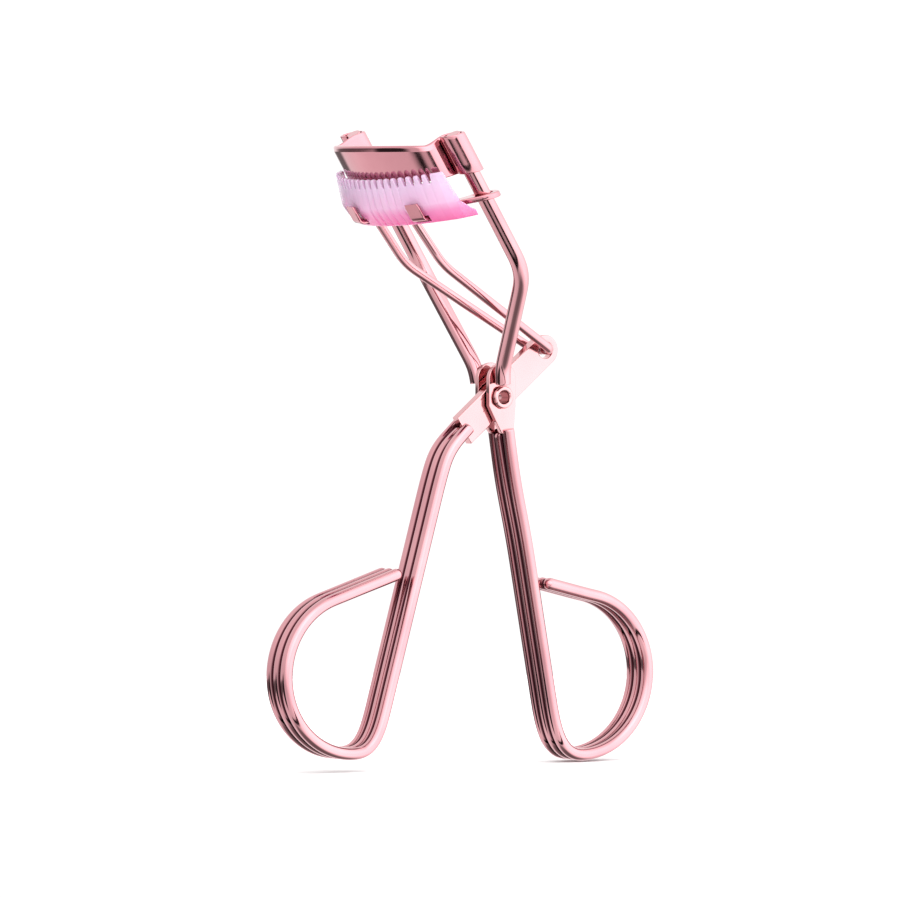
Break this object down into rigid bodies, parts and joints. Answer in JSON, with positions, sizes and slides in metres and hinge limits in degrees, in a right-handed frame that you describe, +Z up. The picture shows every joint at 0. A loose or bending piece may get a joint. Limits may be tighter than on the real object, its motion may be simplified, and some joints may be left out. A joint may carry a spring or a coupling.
{
  "type": "eyelash curler",
  "caption": "Scissor-handled eyelash curler: looped wire handles, guide wires, fixed curved upper jaw, and a sliding lower jaw with silicone pad and comb guard.",
  "frame": {"origin": "centre of the bounding box's bottom face, under the finger loops with the tool upright", "axes": "+Z up from the finger loops to the jaws, Y along the rivet, +X towards the frame handle's loop; the jaws face -X"},
  "size_m": [0.0742, 0.0352, 0.1052],
  "materials": {
    "rose_gold_metal": "polished rose-gold plating on steel wire and sheet",
    "pad_silicone": "satin silicone",
    "comb_plastic": "glossy translucent moulded plastic"
  },
  "bodies": {
    "frame": {"right_handle_front_wire": "rose_gold_metal", "right_handle_middle_wire": "rose_gold_metal", "right_handle_rear_wire": "rose_gold_metal", "front_clevis_plate": "rose_gold_metal", "rear_clevis_plate": "rose_gold_metal", "pivot_rivet": "rose_gold_metal", "front_guide_wire": "rose_gold_metal", "rear_guide_wire": "rose_gold_metal", "upper_jaw": "rose_gold_metal"},
    "lever": {"left_handle_front_wire": "rose_gold_metal", "left_handle_middle_wire": "rose_gold_metal", "left_handle_rear_wire": "rose_gold_metal", "lever_plate": "rose_gold_metal"},
    "lower_jaw": {"lower_jaw": "rose_gold_metal", "silicone_pad": "pad_silicone", "comb_guard": "comb_plastic"},
    "link": {"front_link_wire": "rose_gold_metal", "rear_link_wire": "rose_gold_metal"}
  },
  "joints": [
    {"name": "lever_pivot", "type": "hinge", "parent": "frame", "child": "lever", "pos_m": [0.00659, 0, 0.061], "axis": [0, -1, 0], "range_deg": [-8, 18]},
    {"name": "lower_jaw_slide", "type": "slide", "parent": "frame", "child": "lower_jaw", "axis": [-0.5299, 0, 0.848], "range_m": [-0.002, 0.0041]},
    {"name": "link_swing", "type": "hinge", "parent": "lower_jaw", "child": "link", "pos_m": [-0.01301, 0, 0.09015], "axis": [0, -1, 0], "range_deg": [-1.5, 0.8]}
  ],
  "couplings": [
    {"joint": "lower_jaw_slide", "follows": "lever_pivot", "m_per_rad": 0.0129},
    {"joint": "link_swing", "follows": "lever_pivot", "ratio": -0.07}
  ]
}
